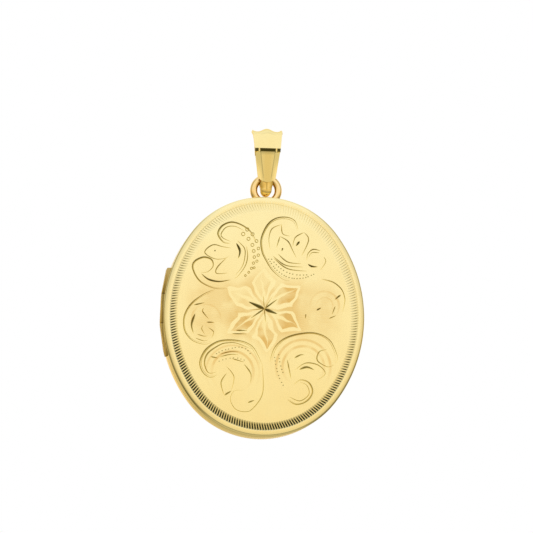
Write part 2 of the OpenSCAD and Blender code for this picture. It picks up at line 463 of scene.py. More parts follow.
flower = {
    "middle": (-0.4, 0, -25.4),
    "petals": 6,
    "firstPetal": 33,       # degrees
    "petalLength": 6.3,
    "petalHalfWidth": 1.8,
    "borderWidth": 0.45,
    "wander": 1.5,
    "beltShare": 0.38,
    "betweenShare": 0.35,
    "rayCount": 150,
}
# middle, inner and outer radius of the burnished curls, in mm from the middle of the face
swirls = [((5.9, -7.4), 2.2, 4.9), ((-4.6, -8.4), 2.4, 4.2), ((-8.6, -0.6), 1.1, 2.9), ((9.0, 1.8), 0.9, 2.6)]


def petalGroup():
    # six petals round the star: a mask inside them, and one for their pale borders
    group, start, end = newGroup("petalField", [("Vector", "NodeSocketVector", None)],
                                 [("Satin", "NodeSocketFloat"), ("Border", "NodeSocketFloat"),
                                  ("Rays", "NodeSocketFloat")])
    toMiddle = [-c for c in flower["middle"]]
    centred = mappingNode(group, start.outputs["Vector"], "Location", toMiddle, [1 / mm] * 3)
    # cut by hand, so the outline wanders
    wander = flower["wander"]
    wandering = noiseNode(group, centred, 0.45, 1.0, "Color")
    moved = vectorMath(group, "MULTIPLY_ADD", wandering, (wander, 0, wander), centred)
    x, y, z = axesOf(group, vectorMath(group, "SUBTRACT", moved, (wander / 2, 0, wander / 2)))
    radius = mathNode(group, "SQRT", sumOfSquares(group, x, z))
    angle = mathNode(group, "ARCTAN2", z, x)
    turned = minus(group, angle, math.radians(flower["firstPetal"]))
    folded = mathNode(group, "PINGPONG", turned, math.pi / flower["petals"])
    across = times(group, radius, mathNode(group, "SINE", folded))
    along = times(group, radius, mathNode(group, "COSINE", folded))
    along = mathNode(group, "DIVIDE", along, flower["petalLength"])
    arch = mathNode(group, "MINIMUM", mapRange(group, along, 0.1, 0.62), mapRange(group, along, 1.0, 0.6))
    petalWidth = times(group, mathNode(group, "POWER", arch, 0.75), flower["petalHalfWidth"])
    edge = minus(group, petalWidth, across)
    inside = mapRange(group, edge, -0.05, 0.08)
    core = mapRange(group, edge, flower["borderWidth"], flower["borderWidth"] + 0.12)
    # a narrow pale tongue runs out along each petal's middle
    tongue = mapRange(group, plus(group, across, times(group, along, 0.55)), 0.40, 0.55)
    # the petals at the top and the upper left are nearly rubbed away
    lower = minus(group, times(group, z, 0.8), times(group, x, 0.5))
    kept = mapRange(group, lower, 3.0, 1.0, 0.2, 1.0)
    outer = times(group, kept, mapRange(group, along, 0.25, 0.5))
    petalSatin = times(group, times(group, core, tongue), outer)
    near = minus(group, mapRange(group, edge, -1.5, -0.1), inside, clamp=True)
    between = times(group, near, window(group, radius, 1.8, 3.2, 5.0, 7.2))
    # a broad satin belt runs out to both sides of the flower
    belt = times(group, mapRange(group, mathNode(group, "ABSOLUTE", z), 5.0, 2.5),
                 mapRange(group, mathNode(group, "ABSOLUTE", x), 12.0, 9.5))
    outside = times(group, minus(group, belt, inside, clamp=True), flower["beltShare"])
    satin = mathNode(group, "MAXIMUM", petalSatin, outside)
    satin = plus(group, satin, times(group, between, flower["betweenShare"]), clamp=True)
    group.links.new(satin, end.inputs["Satin"])
    border = minus(group, inside, core, clamp=True)
    group.links.new(times(group, border, kept), end.inputs["Border"])
    rays = mathNode(group, "SINE", times(group, angle, flower["rayCount"]))
    group.links.new(times(group, rays, satin), end.inputs["Rays"])
    return group


def engravedFinish():
    look = engravedLook
    material, tree, shader, place, tone = goldFinish("engravedGold", look)
    x, y, z = axesOf(tree, place)
    offX = minus(tree, x, caseMiddle.x * mm)
    offZ = minus(tree, z, caseMiddle.z * mm)
    # spread is 1 at the case's outline, and the ticks' border starts at about 0.75
    shareX = mathNode(tree, "DIVIDE", offX, caseOval["halfWidth"] * mm)
    shareZ = mathNode(tree, "DIVIDE", offZ, caseOval["halfHeight"] * mm)
    spread = sumOfSquares(tree, shareX, shareZ)
    # painted shade: below the face the cuts are darkened, most in the deepest ones; the amount rises towards
    # the top, and in the border it is strongest at the bottom and lower left
    lean = plus(tree, offZ, times(tree, offX, 0.25))
    borderShadeLean = mapRange(tree, lean, 13 * mm, -13 * mm, -0.7, 1.1)
    inBorder = times(tree, mapRange(tree, spread, 0.74, 0.77), borderShadeLean)
    amount = plus(tree, mapRange(tree, offZ, -10 * mm, 8 * mm, 0.45, 0.85), inBorder)
    face = caseMiddle.y - caseOval["halfDepth"]
    inside = face + caseOval["sheet"]
    shade = times(tree, mapRange(tree, y, (face + 0.01) * mm, (face + 0.09) * mm), amount, clamp=True)
    shade = times(tree, shade, mapRange(tree, y, (inside + 0.05) * mm, (inside - 0.05) * mm))
    shade = times(tree, shade, mapRange(tree, spread, 0.93, 0.90))
    petals = placeGroup(tree, petalGroup(), place)
    patchy = mapRange(tree, noiseNode(tree, place, 330.0, 2.0), 0.36, 0.52, 0.4, 1.0)
    warm = times(tree, petals.outputs["Satin"], patchy)
    # burnished bands curl round the middles of the lower scrolls and the side flourishes
    for middle, near, far in swirls:
        curlX = minus(tree, offX, middle[0] * mm)
        curlZ = minus(tree, offZ, middle[1] * mm)
        away = mathNode(tree, "DIVIDE", mathNode(tree, "SQRT", sumOfSquares(tree, curlX, curlZ)), mm)
        wave = mapRange(tree, mathNode(tree, "SINE", times(tree, away, 6.6)), -0.2, 0.9)
        room = window(tree, away, near, near + 0.3, far - 0.3, far)
        upper = times(tree, room, mapRange(tree, curlZ, -2.5 * mm, 1.0 * mm))
        curl = times(tree, times(tree, wave, upper), times(tree, patchy, look["curlShare"]))
        warm = mathNode(tree, "MAXIMUM", warm, curl)
    colour = mixColour(tree, warm, tone.outputs["Colour"], look["satin"])
    bright = times(tree, petals.outputs["Border"], look["brightShare"])
    colour = mixColour(tree, bright, colour, look["bright"])
    # painted shade: the rounded rim is darkened towards the sides
    rimSideShade = mapRange(tree, mathNode(tree, "ABSOLUTE", offX), 6 * mm, 13 * mm, 0.0, look["rimShadeShare"])
    rim = times(tree, mapRange(tree, spread, 0.91, 0.98), rimSideShade)
    colour = mixColour(tree, rim, colour, look["rim"])
    tree.links.new(mixColour(tree, shade, colour, look["cutShade"]), shader.inputs["Base Color"])
    # the pressed sheet is very slightly domed
    dome = times(tree, sumOfSquares(tree, offX, offZ), -look["dome"] / mm)
    relief = plus(tree, dome, times(tree, petals.outputs["Rays"], look["rayHeight"]))
    height = tree.nodes["faceBump"].inputs["Height"]
    tree.links.new(plus(tree, height.links[0].from_socket, relief), height)
    return material


def clearFinish():
    material, tree, shader, place = startMaterial("clearWindow")
    shader.inputs["Transmission Weight"].default_value = 1.0
    shader.inputs["IOR"].default_value = 1.49
    shader.inputs["Base Color"].default_value = (0.99, 0.995, 0.99, 1)
    scuffs = placeGroup(tree, hairlines, place).outputs["Hairlines"]
    tree.links.new(mapRange(tree, scuffs, 0.4, 0.7, 0.02, 0.08), shader.inputs["Roughness"])
    return material


def cardFinish():
    material, tree, shader, place = startMaterial("photoCard")
    fibre = noiseNode(tree, place, 2600.0, 6.0)
    cloud = noiseNode(tree, place, 120.0, 2.0)
    mixed = mapRange(tree, plus(tree, times(tree, fibre, 0.5), times(tree, cloud, 0.5)), 0.3, 0.7)
    colour = mixColour(tree, mixed, (0.90, 0.87, 0.79, 1), (0.83, 0.79, 0.70, 1))
    tree.links.new(colour, shader.inputs["Base Color"])
    tree.links.new(mapRange(tree, fibre, 0.3, 0.7, 0.65, 0.85), shader.inputs["Roughness"])
    bump = tree.nodes.new("ShaderNodeBump")
    bump.inputs["Distance"].default_value = 0.03 * mm
    tree.links.new(fibre, bump.inputs["Height"])
    tree.links.new(bump.outputs["Normal"], shader.inputs["Normal"])
    return material


polishedGold = goldFinish("polishedGold", polishedLook)[0]
engravedGold = engravedFinish()
innerGold = goldFinish("innerGold", innerLook)[0]
shadedHingeGold = goldFinish("shadedHingeGold", shadedHingeLook)[0]
clearWindow = clearFinish()
photoCard = cardFinish()
print("finishes ready")


hinge = {
    "axisX": -14.0,
    "radius": 1.3,
    "gap": 0.05,
    "pinRadius": 0.25,
    "pinPlay": 0.02,
    "pinEnds": (-5.7, 6.7),
    "joints": [7.0, 3.2, -1.2, -6.0],  # heights of the knuckles' ends
    "reliefAngle": 23.5,
    "reliefReach": 2.6,
    "reliefHalf": 7.1,
    # filed outer facets, as height and distance from the middle of the case
    "facets": [(7.05, 14.35), (3.2, 15.1), (-1.2, 15.3), (-5.2, 14.6), (-6.1, 14.35)],
}


def hingeRoom(own):
    # tight round a half's own knuckles, loose round the others
    tools = []
    for i, (top, bottom) in enumerate(zip(hinge["joints"], hinge["joints"][1:])):
        loose = 0 if own[i] else hinge["gap"]
        room = bar(hinge["radius"] + loose, bottom - loose, top + loose, (hinge["axisX"], 0))
        tools.append(makeTool("hingeRoom", room))
    return tools


def hingeRelief(side):
    # clears the corner so that the cover can swing back; side is -1 for the cover and 1 for the back
    reach = hinge["reliefReach"]
    axisX = hinge["axisX"]
    slope = reach * math.tan(math.radians(hinge["reliefAngle"]))
    outline = [(axisX, -0.1 * side), (axisX, 0), (axisX - slope, reach * side), (axisX - 3, reach * side),
               (axisX - 3, -0.1 * side)]
    low = -hinge["reliefHalf"]
    return makeTool("hingeRelief", prism([Vector((x, y, low)) for x, y in outline], (0, 0, -2 * low)))


def hingeClearance():
    gap = hinge["gap"]
    low = hinge["joints"][-1] - gap
    high = hinge["joints"][0] + gap
    return makeTool("hingeClearance", bar(hinge["radius"] + gap, low, high, (hinge["axisX"], 0)))


innerHinge = hingeClearance()
# the solid block behind the rim that holds the jump ring
ringBlock = {"middle": 0.4, "width": 4.6, "height": 1.3, "depth": 1.6, "top": 18}


def ringBlockShape(extra):
    half = ringBlock["width"] / 2 + extra
    low = caseOval["halfHeight"] - caseOval["sheet"] - ringBlock["height"] - extra
    return block((ringBlock["middle"] - half, -extra, low),
                 (ringBlock["middle"] + half, ringBlock["depth"] + extra, ringBlock["top"] + extra))


# the pip on the snap lip, and the dimple that it clicks into
snap = {"pipMiddle": (14.53, -0.225, 0), "pipRadius": 0.15, "dimpleRadius": 0.2}
shell = {
    "edgeRadius": 0.35,
    "edgeSteps": 9,
    "seamGap": 0.012,
    "seamSoft": 0.07,
    "margin": 1.0,
    "borderWidth": 0.94,
    "borderDeep": 0.03,
}


def shellSection(bordered):
    # from the middle of the face, round the edge, up the seam and back inside; depths are positive here
    half = caseOval["halfDepth"]
    sheet = caseOval["sheet"]
    edge = shell["edgeRadius"]
    soft = shell["seamSoft"]
    gap = shell["seamGap"]
    section = [(3.0, half)]
    if bordered:
        outer = shell["margin"]
        inner = outer + shell["borderWidth"]
        section += [(inner + 0.05, half), (inner, half), (outer, half - shell["borderDeep"]),
                    (outer - 0.04, half)]
    for i in range(shell["edgeSteps"] + 1):
        turn = math.pi / 2 * i / shell["edgeSteps"]
        section.append((edge - edge * math.sin(turn), half - edge + edge * math.cos(turn)))
    section += [(0, soft + gap), (soft, gap), (sheet, gap), (sheet, half - sheet), (3.0, half - sheet)]
    return section


def makeShell(name, side, bordered):
    section = [(inset, depth * side) for inset, depth in shellSection(bordered)]
    return makeObject(name, sweepOval(section, closed=False))


def backCase():
    case = makeShell("backCase", 1, False)
    holder = makeTool("ringHolder", ringBlockShape(0))
    plate = makeTool("holderTrim", sweepOval([(3, 0), (0.17, 0), (0.17, 2.05), (3, 2.05)], closed=False))
    shapeWith(holder, "INTERSECT", plate)
    shapeWith(case, "UNION", holder)
    wire = wireRing(jumpRing["middle"] - caseMiddle, jumpRing["radius"], jumpRing["notchWire"])
    notch = makeTool("ringNotch", wire)
    shapeWith(case, "DIFFERENCE", hingeRelief(1), *hingeRoom([True, False, True]), notch)
    return finishPiece(case, "case_back", ["back_shell"], polishedGold, caseMiddle, 20)


backCase()
print("back case ready")


# strokes as (width in mm, points across and up from the middle of the face)
scrollUpperLeft = [
    (0.26, [(-5.3, 10.7), (-6.3, 10.9), (-7.1, 12.1), (-6.5, 13.3), (-5.1, 13.95), (-3.5, 13.55),
            (-2.1, 12.5), (-1.3, 10.95)]),
    (0.18, [(-5.1, 11.0), (-6.3, 11.5), (-6.6, 12.1), (-5.8, 13.15), (-4.5, 13.3), (-3.2, 12.7)]),
    (0.18, [(-4.2, 11.2), (-3.1, 10.1), (-3.0, 8.8), (-3.4, 7.3), (-4.4, 6.0)]),
    (0.18, [(-2.8, 10.4), (-2.6, 9.0), (-2.9, 7.5), (-3.9, 6.0), (-4.5, 5.5)]),
    (0.42, [(-4.3, 10.8), (-3.75, 9.65), (-4.0, 8.5)]),
    (0.20, [(-5.1, 10.05), (-6.3, 10.2), (-7.8, 10.45), (-9.0, 9.3), (-7.6, 8.4), (-6.3, 8.4), (-5.3, 8.8)]),
    (0.24, [(-9.5, 6.3), (-8.5, 6.4), (-7.7, 7.3), (-8.0, 8.3), (-9.2, 8.6), (-10.5, 7.9), (-10.75, 6.8),
            (-9.7, 5.0), (-7.6, 4.0), (-5.6, 3.95)]),
    (0.34, [(-9.45, 6.1), (-8.4, 5.3), (-6.8, 5.0), (-5.1, 5.3)]),
    (0.20, [(-5.8, 8.5), (-7.1, 7.1), (-7.2, 6.2), (-5.5, 6.3)]),
]
scrollUpperRight = [
    (0.26, [(4.9, 13.1), (4.4, 14.4), (3.2, 14.9), (1.6, 14.7), (0.3, 13.65), (-0.6, 11.6), (-0.5, 9.8),
            (0.0, 8.6), (1.1, 6.9), (2.7, 5.6), (3.7, 5.4)]),
    (0.18, [(2.4, 13.8), (1.0, 13.1), (0.55, 11.6), (0.75, 10.0)]),
    (0.18, [(2.4, 13.8), (2.6, 12.4), (3.7, 12.1)]),
    (0.20, [(2.2, 12.0), (1.7, 10.3)]),
    (0.20, [(2.2, 12.0), (3.4, 11.3), (4.1, 10.0), (4.7, 8.8)]),
    (0.30, [(2.65, 10.3), (2.5, 9.8)]),
    (0.20, [(5.8, 12.7), (4.5, 11.9), (4.1, 10.5)]),
    (0.20, [(5.8, 12.7), (6.5, 11.6), (5.5, 9.2)]),
    (0.42, [(5.15, 11.35), (4.6, 10.6)]),
    (0.22, [(8.3, 10.0), (7.2, 10.2), (6.4, 9.5), (6.25, 8.5)]),
    (0.16, [(8.2, 9.7), (7.0, 9.7), (6.5, 8.9)]),
    (0.36, [(6.4, 8.0), (7.0, 7.65), (7.9, 7.6)]),
    (0.14, [(8.8, 9.1), (9.1, 8.4), (8.3, 7.1)]),
    (0.20, [(1.9, 9.4), (3.4, 8.2), (5.45, 8.0)]),
    (0.20, [(1.2, 9.0), (3.1, 7.7), (5.7, 7.5)]),
    (0.20, [(1.3, 8.7), (3.4, 7.2), (6.3, 6.9)]),
]
scrollLowerLeft = [
    (0.26, [(-6.9, -8.9), (-7.9, -9.3), (-9.0, -8.6), (-9.5, -7.2), (-9.0, -5.7), (-8.0, -4.6), (-6.5, -3.8),
            (-4.4, -3.65), (-2.6, -4.0), (-1.4, -4.9), (-0.2, -7.2)]),
    (0.16, [(-0.2, -7.2), (-0.1, -11.4), (-1.6, -13.8), (-2.8, -14.25), (-4.2, -13.8), (-4.9, -12.4),
            (-4.3, -11.2), (-2.9, -11.05)]),
    (0.26, [(-7.1, -8.5), (-8.2, -8.6), (-8.8, -7.2), (-8.3, -5.7), (-6.5, -4.4), (-5.4, -4.1), (-4.1, -4.1),
            (-1.9, -4.9)]),
    (0.26, [(-7.9, -6.2), (-6.8, -6.4)]),
    (0.20, [(-6.5, -5.8), (-5.0, -5.4), (-3.7, -5.4)]),
    (0.20, [(-6.5, -6.2), (-5.0, -5.8), (-3.8, -5.8)]),
    (0.20, [(-4.75, -6.4), (-2.9, -6.9)]),
    (0.22, [(-5.5, -8.6), (-6.3, -10.0), (-5.85, -11.8)]),
    (0.36, [(-5.8, -11.9), (-4.75, -11.2)]),
    (0.14, [(-5.5, -7.6), (-4.4, -9.1), (-4.75, -11.1)]),
    (0.20, [(-2.9, -7.2), (-1.9, -8.6), (-1.95, -10.0)]),
    (0.32, [(-2.3, -12.9), (-1.3, -12.5)]),
]
scrollLowerRight = [
    (0.26, [(0.9, -6.8), (1.5, -4.8), (2.8, -3.4), (4.9, -2.55), (7.6, -2.3), (9.8, -3.3), (11.0, -5.75),
            (10.7, -6.7)]),
    (0.22, [(9.4, -4.7), (8.25, -5.1), (8.0, -6.4), (9.6, -7.3), (10.5, -6.9)]),
    (0.30, [(4.55, -6.1), (5.5, -5.6), (6.0, -5.6)]),
    (0.42, [(5.3, -7.8), (6.45, -7.4), (7.55, -7.8)]),
    (0.20, [(4.7, -7.85), (6.3, -6.8), (8.2, -7.1), (9.2, -8.3), (8.0, -9.3)]),
    (0.20, [(3.5, -6.4), (4.1, -9.2)]),
    (0.24, [(3.6, -12.3), (4.9, -13.0), (6.45, -12.5), (7.35, -11.1), (6.8, -9.7), (5.5, -9.3),
            (4.55, -10.0)]),
    (0.18, [(3.9, -11.9), (5.5, -12.45), (6.8, -11.4), (6.45, -10.1), (5.4, -9.65)]),
]
sideFlourishes = [
    (0.22, [(-7.4, 3.8), (-9.0, 3.1), (-10.7, 1.8), (-11.7, 0.3), (-12.0, -1.2), (-11.7, -2.7), (-10.6, -3.9),
            (-8.9, -4.4), (-7.8, -4.1)]),
    (0.26, [(-10.5, 1.4), (-8.9, 1.8)]),
    (0.40, [(-10.3, 0.1), (-10.8, -1.5), (-10.5, -2.8)]),
    (0.20, [(-9.0, 1.0), (-9.2, 0.5), (-8.3, -0.6)]),
    (0.26, [(-8.6, -1.1), (-7.4, -1.1)]),
    (0.16, [(-8.3, -1.9), (-7.5, -2.5), (-7.8, -3.4)]),
    (0.16, [(-9.1, -1.6), (-9.3, -2.1), (-8.8, -2.9)]),
    (0.16, [(-10.0, -2.9), (-8.9, -3.2), (-8.4, -3.1)]),
    (0.16, [(-10.2, -3.5), (-8.9, -3.9), (-8.3, -3.7)]),
    (0.18, [(8.5, 5.8), (10.2, 5.4), (11.5, 4.35), (12.0, 3.1), (12.0, 2.2), (11.7, 0.9)]),
    (0.34, [(11.4, 3.5), (10.5, 2.75)]),
    (0.22, [(10.6, 1.8), (10.1, 0.5)]),
    (0.22, [(9.65, -0.1), (10.75, 0.4)]),
    (0.34, [(7.8, 1.1), (8.5, 1.5)]),
    (0.22, [(6.2, 0.5), (6.15, -0.2)]),
    (0.26, [(-4.2, -2.2), (-2.5, -2.2)]),
    (0.22, [(-4.8, -2.7), (-2.6, -2.7)]),
]
# outlines that a second, finer line follows
echoed = [scrollUpperLeft[0], scrollUpperLeft[6], scrollUpperRight[0], scrollLowerLeft[0],
          scrollLowerRight[0], scrollLowerRight[6], sideFlourishes[0], sideFlourishes[9]]
# the star's rays: width and tip, all cut from its middle
star = {
    "middle": (0, 1.1),
    "rays": [(0.62, (-2.35, 2.1)), (0.58, (1.95, 0.4)), (0.30, (1.95, 2.6)), (0.30, (-2.0, -0.35)),
             (0.16, (-0.2, 3.1)), (0.20, (0.2, -0.9)), (0.14, (1.2, 3.0)), (0.12, (-2.2, 0.9))],
}
# rows of beads: first radius, last radius, spacing and the line that they follow
beadRows = [
    (0.11, 0.11, 0.42, [(0.5, 8.6), (1.5, 7.2), (2.9, 6.15), (4.4, 5.75), (6.0, 5.9), (7.4, 6.5)]),
    (0.11, 0.11, 0.50, [(0.95, 8.6), (1.95, 7.5), (3.3, 6.65), (4.8, 6.3), (6.6, 6.35)]),
    (0.11, 0.11, 0.50, [(-7.1, -5.8), (-6.2, -5.3), (-5.1, -5.0), (-3.7, -4.7), (-2.6, -5.0), (-1.8, -5.9)]),
    (0.10, 0.10, 0.55, [(-6.7, -6.9), (-5.6, -6.5), (-4.2, -6.3), (-2.9, -6.6)]),
    (0.10, 0.12, 0.55, [(1.6, -6.0), (1.9, -7.6), (2.4, -9.2), (3.2, -10.6)]),
    (0.10, 0.12, 0.55, [(2.2, -5.6), (2.5, -7.2), (3.0, -8.6)]),
    (0.14, 0.14, 0.90, [(-7.6, 9.6), (-7.0, 9.5)]),
]
# radius and middle of each small ring struck into the face
struckRings = [(0.26, -3.3, 12.2), (0.26, -2.7, 12.9), (0.24, -2.5, 11.5), (0.24, -1.9, 12.2),
               (0.23, -1.9, 10.6), (0.22, -1.3, 11.2), (0.22, -1.7, 9.7), (0.20, -1.0, 10.1),
               (0.20, -1.6, 8.8), (0.19, -1.0, 9.1), (0.18, -1.7, 7.9), (0.17, -1.2, 8.2),
               (0.17, -2.0, 7.1), (0.15, -1.6, 7.2), (0.15, -2.4, 6.5), (0.14, -2.9, 6.0)]
borderTicks = {
    "count": 244,
    "inset": 1.46,
    "length": 1.12,
    "width": 0.15,
    "wider": 0.11,      # added where the tool was pressed hardest
    "shallow": 0.04,
    "depth": 0.14,
    "slant": 14,        # degrees
    "lean": 0.4,
}
faceY = -caseOval["halfDepth"]


def smoothLine(points, spacing=0.3):
    # a smooth curve through the points, as points about spacing apart
    knots = [Vector((x, faceY, z)) for x, z in points]
    if len(knots) == 2:
        knots.insert(1, (knots[0] + knots[1]) / 2)
    line = [knots[0]]
    for i in range(len(knots) - 1):
        before = knots[max(i - 1, 0)]
        after = knots[min(i + 2, len(knots) - 1)]
        a, b = knots[i], knots[i + 1]
        steps = max(3, round((b - a).length / spacing) + 1)
        line += interpolate_bezier(a, a + (b - before) / 6, b - (after - a) / 6, b, steps)[1:]
    return line


def cutWidth(share, lead):
    # a graver's cut: quick entry, long run out
    return max(0.12, min(1.0, share / lead, (1 - share) / (1 - lead)) ** 0.6)


def strokeCutter(width, points, lead=0.35):
    line = smoothLine(points)
    down = Vector((0, 1, 0))
    frames = []
    for i, point in enumerate(line):
        along = (line[min(i + 1, len(line) - 1)] - line[max(i - 1, 0)]).normalized()
        size = width / 2 * cutWidth(i / (len(line) - 1), lead)
        across = along.cross(down)
        turned = Matrix((across * size, down * size * 0.9, along)).transposed()
        frames.append(Matrix.Translation(point) @ turned.to_4x4())
    bm = bmesh.new()
    corners = [frames[0] @ Vector(corner) for corner in ((-1.5, -0.5, 0), (1.5, -0.5, 0), (0, 1, 0))]
    verts, row = drawLine(bm, corners)
    for last, this in zip(frames, frames[1:]):
        row, verts = pullRow(bm, row)
        bmesh.ops.transform(bm, matrix=this @ last.inverted(), verts=verts)
    closeHoles(bm)
    return makeTool("graverCut", bm)


def pit(bm, middle, long, wide, deep, turn, sides, lean=0.0):
    # a small pointed pit: a cone whose base stands clear of the face, with its point leaning along its length
    shear = Matrix.Shear("XY", 4, (lean, 0))
    matrix = (Matrix.Translation(middle) @ Matrix.Rotation(turn, 4, "Y")
              @ Matrix.Rotation(math.radians(-90), 4, "X")
              @ Matrix.Diagonal((long * 0.75, wide * 0.75, deep * 1.5, 1)) @ shear
              @ Matrix.Translation((0, 0, 0.1667)))
    if sides == 4:
        # a square cone turned onto its flat side makes a slit with parallel sides
        matrix = matrix @ Matrix.Diagonal((1.414, 1.414, 1, 1)) @ Matrix.Rotation(math.radians(45), 4, "Z")
    bmesh.ops.create_cone(bm, cap_ends=True, segments=sides, radius1=1, radius2=0, depth=1, matrix=matrix)


def tickCutter():
    # one row of slanted ticks, deepest towards the rim
    bm = bmesh.new()
    for point, out in ovalPlaces(borderTicks["inset"], borderTicks["count"]):
        middle = Vector((point.x, faceY + shell["borderDeep"] / 2, point.z))
        turn = -math.atan2(out.z, out.x) - math.radians(borderTicks["slant"])
        # the tool was pressed hardest along the bottom and the lower left
        press = min(1, max(0, 0.5 - (point.z + 0.3 * point.x) / 24))
        deep = borderTicks["shallow"] + (borderTicks["depth"] - borderTicks["shallow"]) * press
        wide = borderTicks["width"] + borderTicks["wider"] * press
        pit(bm, middle, borderTicks["length"], wide, deep, turn, 4, borderTicks["lean"])
    return makeTool("borderCuts", bm)


def ringCut(bm, middle, radius, width):
    # a small ring struck into the face
    near, far = radius - width * 0.75, radius + width * 0.75
    section = [(near, -width * 0.25), (far, -width * 0.25), (radius, width * 0.5)]
    corners, edges = drawLine(bm, [middle + Vector((out, deep, 0)) for out, deep in section])
    turnRound(bm, corners + edges, middle, (0, 1, 0), 12)


def beadCutter():
    bm = bmesh.new()
    for first, last, spacing, points in beadRows:
        line = smoothLine(points, 0.15)
        total = sum((b - a).length for a, b in zip(line, line[1:]))
        passed = 0.0
        due = 0.0
        for a, b in zip(line, line[1:]):
            passed += (b - a).length
            if passed >= due:
                size = first + (last - first) * passed / total
                pit(bm, b, size * 2, size * 2, size * 0.7, 0, 12)
                due += spacing
    for radius, x, z in struckRings:
        ringCut(bm, Vector((x, faceY, z)), radius, 0.12)
    return makeTool("beadCuts", bm)


def echoOf(points, share=0.94):
    # the same line again, a little nearer to its own middle
    middle = Vector(map(sum, zip(*points))) / len(points)
    return [tuple(middle + (Vector(point) - middle) * share) for point in points]


def engraveCover(cover):
    cuts = bpy.data.collections.new("graverCuts")
    bpy.context.scene.collection.children.link(cuts)
    made = [tickCutter(), beadCutter()]
    upper = scrollUpperLeft + scrollUpperRight
    for width, points in upper + scrollLowerLeft + scrollLowerRight + sideFlourishes:
        made.append(strokeCutter(width, points))
    for width, points in echoed:
        made.append(strokeCutter(width / 2, echoOf(points)))
    for width, tip in star["rays"]:
        made.append(strokeCutter(width, [star["middle"], tip], 0.3))
    for obj in made:
        bpy.context.scene.collection.objects.unlink(obj)
        cuts.objects.link(obj)
    addBoolean(cover, "DIFFERENCE", group=cuts)
    return bakeModifiers(cover)


def crispFace(obj):
    # shading doesn't blend the flat face into the cuts
    bm = bmesh.new()
    bm.from_mesh(obj.data)
    for edge in bm.edges:
        flat = [face.normal.y < -0.99999 for face in edge.link_faces]
        middle = (edge.verts[0].co + edge.verts[1].co) / 2 / mm - caseMiddle
        spread = (middle.x / caseOval["halfWidth"]) ** 2 + (middle.z / caseOval["halfHeight"]) ** 2
        if len(set(flat)) == 2 and spread < 0.9:
            edge.smooth = False
    bm.to_mesh(obj.data)
    bm.free()


def engravedCover():
    cover = makeShell("engravedCover", -1, True)
    nick = makeTool("nailNick", block((-0.18, -0.18, -1.5), (0.18, 0.18, 1.5)))
    nick.data.transform(Matrix.Translation((15, 0, -3)) @ Matrix.Rotation(math.radians(45), 4, "Z"))
    dimple = makeTool("snapDimple", ball(snap["dimpleRadius"], snap["pipMiddle"]))
    shapeWith(cover, "DIFFERENCE", hingeRelief(-1), *hingeRoom([False, True, False]), nick, dimple)
    engraveCover(cover)
    finishPiece(cover, "cover", ["front_shell"], engravedGold, caseMiddle, 16)
    crispFace(cover)
    return cover


engravedCover()
print("cover engraved")


innerRim = {
    "ledgeIn": {1: 0.35, -1: 0.72},
    "innerEdge": 2.4,
    "softness": 0.04,
}
photoFrame = {"outer": 2.45, "lip": 0.75, "sheet": 0.22, "deep": 1.4}
insertDepths = {"clear_window": (0.32, 0.52), "photo_card": (0.54, 0.74)}  # from the seam


def sidedSection(section, side):
    return [(inset, depth * side) for inset, depth in section]


def innerRimPiece(name, side, body, node):
    edge = innerRim["innerEdge"]
    soft = innerRim["softness"]
    start = innerRim["ledgeIn"][side]
    section = [(start, 0.05), (edge - soft, 0.05), (edge, 0.05 + soft), (edge, 1.5), (edge - 0.3, 1.5),
               (edge - 0.3, 0.3)]
    if side == 1:
        section += [(start, 0.3)]
    else:
        section += [(0.97, 0.3), (0.97, 0.95), (0.35, 0.95), (0.35, 0.7), (start, 0.7)]
    rim = makeObject(name, sweepOval(sidedSection(section, side)))
    tools = [innerHinge, hingeRelief(side)]
    if side == 1:
        tools.append(makeTool("holderRoom", ringBlockShape(0)))
    shapeWith(rim, "DIFFERENCE", *tools)
    return finishPiece(rim, body, [node], innerGold, caseMiddle, 40)


def snapLipPiece():
    section = [(0.42, 0.05), (0.42, -0.41), (0.46, -0.45), (0.58, -0.45), (0.62, -0.41), (0.62, 0.05)]
    lip = makeObject("snapLip", sweepOval(section))
    pip = makeTool("snapPip", ball(snap["pipRadius"], snap["pipMiddle"]))
    hingeEnd = makeTool("lipEnd", block((-17, -3, -19), (-9, 3, 19)))
    ringGap = makeTool("lipGap", ringBlockShape(0.1))
    shapeWith(lip, "UNION", pip)
    shapeWith(lip, "DIFFERENCE", hingeEnd, ringGap)
    return finishPiece(lip, "case_back", ["snap_lip"], innerGold, caseMiddle, 40)


def photoFramePiece(name, side, body, node):
    outer = photoFrame["outer"]
    inner = outer + photoFrame["lip"]
    wall = outer + photoFrame["sheet"]
    # the lip rolls over towards the window
    section = [(outer, 0.08), (outer + 0.03, 0.05), (inner - 0.14, 0.05), (inner - 0.05, 0.09), (inner, 0.18),
               (inner, 0.30), (wall, 0.30), (wall, photoFrame["deep"]), (outer, photoFrame["deep"])]
    piece = makeObject(name, sweepOval(sidedSection(section, side)))
    return finishPiece(piece, body, [node], polishedGold, caseMiddle, 40)


def insertPiece(name, side, body, node, slotName, material):
    # a window or a card: a thin plate in the case's outline
    near, far = insertDepths[slotName]
    section = [(3.4, near), (2.72, near), (2.70, near + 0.02), (2.70, far - 0.02), (2.72, far), (3.4, far)]
    plate = makeObject(name, sweepOval(sidedSection(section, side), closed=False))
    return finishPiece(plate, body, [node], material, caseMiddle, 40)


innerRimPiece("backInnerRim", 1, "case_back", "back_seat")
innerRimPiece("coverInnerRim", -1, "cover", "front_seat")
snapLipPiece()
photoFramePiece("backPhotoFrame", 1, "case_back", "back_photo_frame")
photoFramePiece("coverPhotoFrame", -1, "cover", "front_photo_frame")
insertPiece("backClearWindow", 1, "case_back", "back_window", "clear_window", clearWindow)
insertPiece("coverClearWindow", -1, "cover", "front_window", "clear_window", clearWindow)
insertPiece("backCard", 1, "case_back", "back_photo_card", "photo_card", photoCard)
insertPiece("coverCard", -1, "cover", "front_photo_card", "photo_card", photoCard)
print("inside ready")


